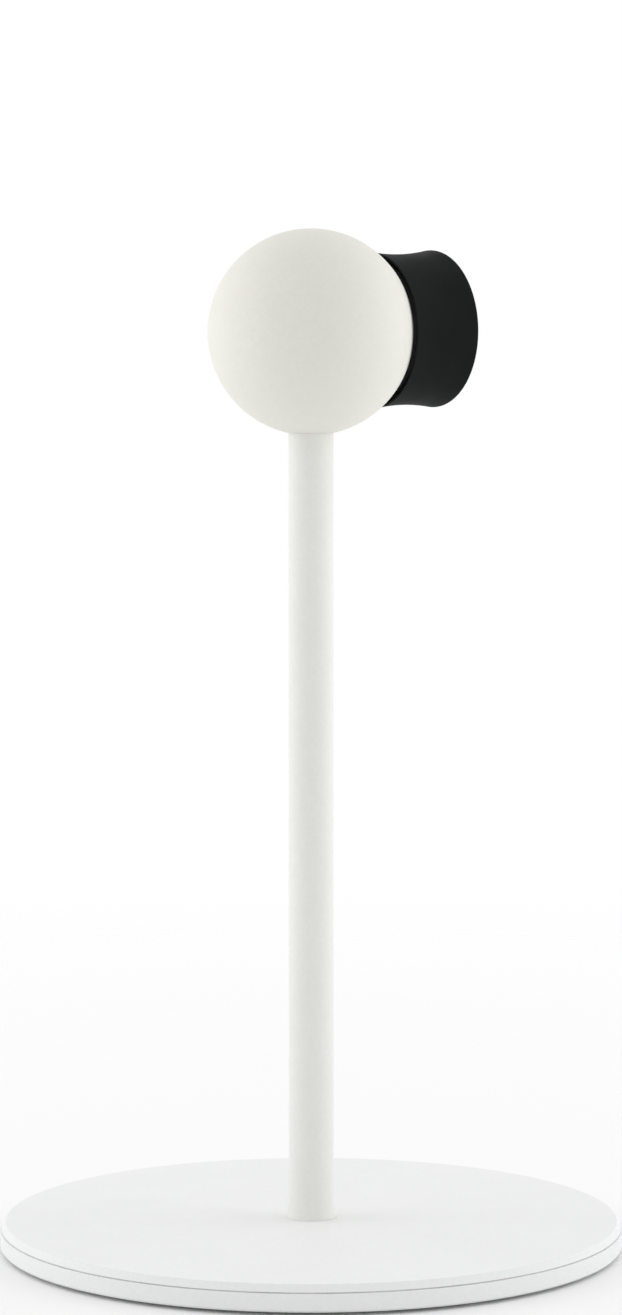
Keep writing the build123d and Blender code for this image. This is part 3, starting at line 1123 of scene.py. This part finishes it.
@dataclass
class Post(SubAssembly):
    """Slim tube with a flared foot, and the two threaded pieces inside it."""

    bore: float = 4.3
    shaft: float = 5.5
    flare_height: float = 9.0
    flare_bow: float = 0.15
    flare_steps: int = 12
    top_round: float = 0.2
    core: float = 2.55
    thread_depth: float = 0.42
    thread_pitch: float = 1.0
    plain_end: float = 0.9
    head_inset: float = 0.1
    head_rim: float = 0.2
    head_round: float = 0.08
    neck_rise: float = 0.1
    neck_round: float = 0.2
    screw_tip: float = 0.6
    socket_flat: float = 2.0
    socket_depth: float = 2.3
    socket_bevel: float = 0.15
    socket_flare: float = 1.25
    stud_foot: float = 0.5
    stud_tip: float = 0.4
    stud_socket_flat: float = 1.5
    stud_socket_depth: float = 3.0
    stud_socket_bevel: float = 0.1
    screw_segments: int = 96

    def build(self) -> None:
        """Builds the tube, the screw from below and the ball's stud."""
        self._tube()
        self._screw()
        self._stud()

    def _tube(self) -> None:
        """Painted tube."""
        size = Extent.of("pole")
        flare_foot = Extent.of("base_cover").top
        low = Corner(size.radius, flare_foot)
        middle = Corner(self.shaft + self.flare_bow, flare_foot + self.flare_height / 2)
        high = Corner(self.shaft, flare_foot + self.flare_height)
        mesh = turned_mesh("post_tube", Outline([
            Corner(self.bore, size.bottom, self.edge_round),
            Corner(size.radius, size.bottom, self.edge_round),
            low,
            *bowed(low, middle, high, self.flare_steps),
            high,
            Corner(self.shaft, size.top, self.top_round),
            Corner(self.bore, size.top, self.edge_round),
        ]), self.segments, Matrix())
        self.hand_over(mesh, Body.STAND, Slot.POLE_PAINT, "pole")

    def _threaded(self, name: str, corners: list[Corner], start: float, end: float, node: str) -> None:
        """Turns a screw's plain shape, winds its thread and hands it over.

        Args:
            name: of the piece.
            corners: its outline.
            start: the height at which the thread starts.
            end: the height at which it ends.
            node: the carried-over node that it stands for.
        """
        outline = Outline(corners, arc_steps=3, support=0.1)
        mesh = turned_mesh(name, outline, self.screw_segments, Matrix())
        thread = Thread(self.core, self.thread_depth, self.thread_pitch, start, end - start)
        mesh = thread.grow(mesh, self.paints.of(Slot.FASTENER_STEEL))
        self.hand_over(mesh, Body.STAND, Slot.FASTENER_STEEL, node)

    def _screw(self) -> None:
        """Countersunk screw with a hexagonal socket in its head."""
        size = Extent.of("pole_screw")
        rim, neck = size.radius - self.head_inset, size.bottom + size.radius - self.core
        self._threaded("post_screw", [
            Corner(0.0, size.bottom + self.socket_depth),
            Corner(self.socket_flat, size.bottom + self.socket_depth, hexed=True),
            Corner(self.socket_flat, size.bottom + self.socket_bevel, hexed=True),
            Corner(self.socket_flat * self.socket_flare, size.bottom),
            Corner(rim, size.bottom, self.edge_round),
            Corner(rim, size.bottom + self.head_rim, self.head_round),
            Corner(self.core, neck + self.neck_rise, self.neck_round),
            Corner(self.core, size.top - self.screw_tip, self.edge_round),
            Corner(self.core - self.screw_tip, size.top, self.edge_round),
            Corner(0.0, size.top),
        ], neck + self.plain_end, size.top - self.plain_end, "pole_screw")

    def _stud(self) -> None:
        """Stud that holds the ball, with a hexagonal socket in its top."""
        size = Extent.of("ball_stud")
        self._threaded("ball_stud_threaded", [
            Corner(0.0, size.bottom),
            Corner(self.core - self.stud_foot, size.bottom, self.edge_round),
            Corner(self.core, size.bottom + self.stud_foot, self.edge_round),
            Corner(self.core, size.top - self.stud_tip, self.edge_round),
            Corner(self.core - self.stud_tip, size.top),
            Corner(self.stud_socket_flat, size.top - self.stud_socket_bevel, hexed=True),
            Corner(self.stud_socket_flat, size.top - self.stud_socket_depth, hexed=True),
            Corner(0.0, size.top - self.stud_socket_depth),
        ], size.bottom + self.plain_end, size.top - self.plain_end, "ball_stud")


@dataclass
class BallHead(SubAssembly):
    """Hollow painted steel ball with a hole for the post's top."""

    wall: float = 1.5
    hole: float = 5.58
    hole_round: float = 0.3
    lip_step: float = 0.02
    lip_rise: float = 0.06
    arc_steps: int = 96

    def build(self) -> None:
        """Builds the shell."""
        size = Extent.of("ball_shell")
        centre = BALL_CENTRE.z / MM
        outer, inner = size.radius, size.radius - self.wall
        outer_foot = -math.degrees(math.acos((self.hole + self.hole_round) / outer))
        inner_foot = -math.degrees(math.acos(self.hole / inner))
        lip = centre - math.sqrt(outer ** 2 - self.hole ** 2)
        mesh = turned_mesh("ball_painted", Outline([
            *arc(outer, 90.0, outer_foot, self.arc_steps, centre),
            Corner(self.hole + self.lip_step, lip + self.lip_rise),
            Corner(self.hole, lip + self.hole_round),
            *arc(inner, inner_foot, 90.0, self.arc_steps // 2, centre),
        ]), self.segments, Matrix())
        self.hand_over(mesh, Body.BALL, Slot.BALL_PAINT, "ball_shell")


@dataclass
class Puck(SubAssembly):
    """Silicone-covered puck on the ball, measured along its own axis from the ball's centre.

    Sizes are in millimetres, and `seat_trim` is in degrees.
    """

    rear_gap: float = 1.15
    housing: float = 16.85
    press_gap: float = 0.02
    rear_wall: float = 2.2
    waist_wall: float = 1.62
    waist_steps: int = 28
    front_wall: float = 2.55
    front: float = 36.315
    front_round: float = 0.4
    front_plain: float = 0.9
    front_bore_round: float = 0.25
    rear_round: float = 0.2
    rear_plain: float = 0.8
    rear_inset: float = 0.02
    rear_rise: float = 0.04
    seat_steps: int = 6
    seat_trim: float = 3.0
    rib_rear: float = 24.458
    rib_front: float = 26.058
    rib_height: float = 0.7
    pad_radius: float = 16.75
    pad_rear: float = 35.415
    pad_front: float = 36.615
    pad_round: float = 0.2
    pad_rim: float = 1.0
    bump_height: float = 0.12
    bump_pitch: float = 1.5
    bump_margin: float = 1.2
    bump_radius: float = 0.52
    bump_top_radius: float = 0.40

    def build(self) -> None:
        """Builds the sleeve and the pad."""
        self._sleeve()
        self._pad()

    def _sleeve(self) -> None:
        """Waisted silicone sleeve whose rear edge follows the ball."""
        seat = Extent.of("ball_shell").radius + self.rear_gap
        inner = self.housing + self.press_gap
        rear, front = self.housing + self.rear_wall, self.housing + self.front_wall
        rib = self.housing - self.rib_height
        level = math.sqrt(seat ** 2 - rear ** 2)
        inner_angle = math.degrees(math.acos(inner / seat))
        rear_angle = math.degrees(math.acos((rear - self.rear_round) / seat))
        low, high = Corner(rear, level), Corner(front, self.front)
        middle = Corner(self.housing + self.waist_wall, (level + self.front) / 2)
        waist = bowed(low, middle, high, self.waist_steps)
        kept = [spot for spot in waist if level + self.rear_plain < spot.up < self.front - self.front_plain]
        mesh = turned_mesh("puck_sleeve_silicone", Outline([
            *arc(seat, rear_angle + self.seat_trim, inner_angle, self.seat_steps),
            Corner(inner, self.rib_rear),
            Corner(rib, self.rib_rear),
            Corner(rib, self.rib_front),
            Corner(inner, self.rib_front),
            Corner(inner, self.front, self.front_bore_round),
            Corner(front, self.front, self.front_round),
            *reversed(kept),
            Corner(rear - self.rear_inset, level + self.rear_rise, self.rear_round),
        ], arc_steps=8), self.segments, PUCK_PLACE)
        self.hand_over(mesh, Body.PUCK, Slot.SILICONE, "puck_sleeve")

    def _pad(self) -> None:
        """Soft round pad with a field of small flat bumps that grip the phone."""
        face = self.pad_front - self.bump_height
        mesh = turned_mesh("phone_pad_gel", Outline([
            Corner(0.0, self.pad_rear),
            Corner(self.pad_radius, self.pad_rear, self.edge_round),
            Corner(self.pad_radius, face, self.pad_round),
            Corner(self.pad_radius - self.pad_rim, face),
            Corner(0.0, face),
        ]), self.segments, Matrix())
        bumps = StudField(
            pitch=self.bump_pitch, inner=-1.0, outer=self.pad_radius - self.bump_margin,
            radius=self.bump_radius, top_radius=self.bump_top_radius, height=self.bump_height, level=face,
        )
        mesh = bumps.grow(mesh, self.paints.of(Slot.PAD_GEL))
        mesh.transform(PUCK_PLACE)
        mark_upward(mesh)
        self.hand_over(mesh, Body.PUCK, Slot.PAD_GEL, "phone_pad")


# ---- Studio -----------------------------------------------------------------------------------------------

@dataclass
class Softbox:
    """A large soft light aimed at the stand."""

    name: str
    azimuth: float
    elevation: float
    distance: float
    width: float
    height: float
    power: float

    def place(self, target: Vector) -> None:
        """Hangs the light so that it looks at the target."""
        lamp = bpy.data.lights.new(self.name, "AREA")
        lamp.shape = "RECTANGLE"
        lamp.size = self.width
        lamp.size_y = self.height
        lamp.energy = self.power
        holder = bpy.data.objects.new(self.name, lamp)
        bpy.context.scene.collection.objects.link(holder)
        holder.visible_camera = False
        back = direction(self.azimuth, self.elevation)
        holder.location = target + back * self.distance
        holder.rotation_euler = (-back).to_track_quat("-Z", "Y").to_euler()


def direction(azimuth: float, elevation: float) -> Vector:
    """Gives the way from the stand, in degrees round it (0 in front, 90 on its right) and above level."""
    turn, rise = math.radians(azimuth), math.radians(elevation)
    return Vector((math.sin(turn) * math.cos(rise), -math.cos(turn) * math.cos(rise), math.sin(rise)))


@dataclass
class Studio:
    """Camera, soft lights, pale surroundings and floor."""

    azimuth: float = 235.8
    camera_distance: float = 1.0023
    camera_height: float = 0.2166
    pitch_down: float = 4.084
    roll: float = -0.03
    lens: float = 113.0
    nearest: float = 0.01
    farthest: float = 50.0
    aim_height: float = 0.12
    side_turn: float = 98.0
    surround: float = 0.75
    backdrop: float = 1.0
    floor_reach: float = 3.0
    floor_colour: Colour = (0.93, 0.93, 0.93)
    floor_roughness: float = 0.8
    floor_patches: float = 1.5
    floor_patch_share: float = 0.1
    floor_patch_shade: float = 0.97
    fade_start: float = 0.16
    fade_end: float = 0.75

    def build(self) -> None:
        """Sets up the whole studio."""
        self._camera()
        self._lights()
        self._surroundings()
        self._floor()
        bpy.context.scene.view_settings.view_transform = "Standard"
        LOG.info("studio ready")

    def _camera(self) -> None:
        """Long lens at about the ball's height, tipped slightly down."""
        data = bpy.data.cameras.new("camera")
        data.lens = self.lens
        data.clip_start = self.nearest
        data.clip_end = self.farthest
        camera = bpy.data.objects.new("camera", data)
        bpy.context.scene.collection.objects.link(camera)
        back = direction(self.azimuth, 0.0)
        camera.location = back * self.camera_distance + Vector((0.0, 0.0, self.camera_height))
        look = -direction(self.azimuth, self.pitch_down)
        turn = look.to_track_quat("-Z", "Y").to_matrix().to_4x4()
        roll = Matrix.Rotation(math.radians(self.roll), 4, "Z")
        camera.rotation_euler = (turn @ roll).to_euler()
        bpy.context.scene.camera = camera

    def _lights(self) -> None:
        """A softbox on each side, a gentle one above and a broad one behind the stand."""
        side = {"elevation": 12.0, "distance": 0.95, "width": 1.3, "height": 1.5, "power": 5.6}
        above = {"elevation": 86.0, "distance": 1.3, "width": 1.2, "height": 1.2, "power": 0.3}
        behind = {"elevation": 14.0, "distance": 1.5, "width": 2.6, "height": 1.6, "power": 4.0}
        target = Vector((0.0, 0.0, self.aim_height))
        Softbox("softbox_left", self.azimuth - self.side_turn, **side).place(target)
        Softbox("softbox_right", self.azimuth + self.side_turn, **side).place(target)
        Softbox("softbox_above", self.azimuth, **above).place(target)
        Softbox("softbox_behind", self.azimuth + 180.0, **behind).place(target)

    def _surroundings(self) -> None:
        """Bright backdrop to look at, with gentler light from all round."""
        world = bpy.data.worlds.new("surroundings")
        world.use_nodes = True
        world.node_tree.nodes.clear()
        graph = Graph(world.node_tree)
        seen = graph.add("ShaderNodeLightPath").outputs["Is Camera Ray"]
        strength = graph.ramp(seen, low=0.0, high=1.0, start=self.surround, end=self.backdrop, smooth=False)
        glow = graph.add("ShaderNodeBackground", {"Color": opaque((1.0, 1.0, 1.0)), "Strength": strength})
        graph.add("ShaderNodeOutputWorld", {"Surface": glow.outputs[0]})
        bpy.context.scene.world = world

    def _floor(self) -> None:
        """Plain pale floor that fades into the backdrop far from the stand."""
        reach = self.floor_reach
        mesh = bpy.data.meshes.new("floor")
        corners = [(-reach, -reach, 0), (reach, -reach, 0), (reach, reach, 0), (-reach, reach, 0)]
        mesh.from_pydata(corners, [], [(0, 1, 2, 3)])
        material, graph, shader, place = start_material("floor")
        patches = graph.noise(place, self.floor_patches)
        darker = tint(self.floor_colour, self.floor_patch_shade)
        colour = graph.cover(opaque(self.floor_colour), patches, self.floor_patch_share, darker)
        away = graph.add("ShaderNodeVectorMath", {0: place}, operation="LENGTH").outputs["Value"]
        fade = graph.ramp(away, low=self.fade_start, high=self.fade_end, start=1.0, end=0.0)
        graph.feed(shader, {"Base Color": colour, "Roughness": self.floor_roughness, "Alpha": fade})
        floor = new_piece("floor", mesh, material)


# ---- Making it all ----------------------------------------------------------------------------------------

def main() -> None:
    """Builds the stand and the studio."""
    logging.basicConfig(level=logging.INFO, format="%(name)s: %(message)s")
    Studio().build()
    paints = Paintbox()
    paints.dress_all()
    for part in (Foot(paints), Post(paints), BallHead(paints), Puck(paints)):
        part.build()
        LOG.info("%s done", type(part).__name__)


if __name__ == "__main__":
    main()
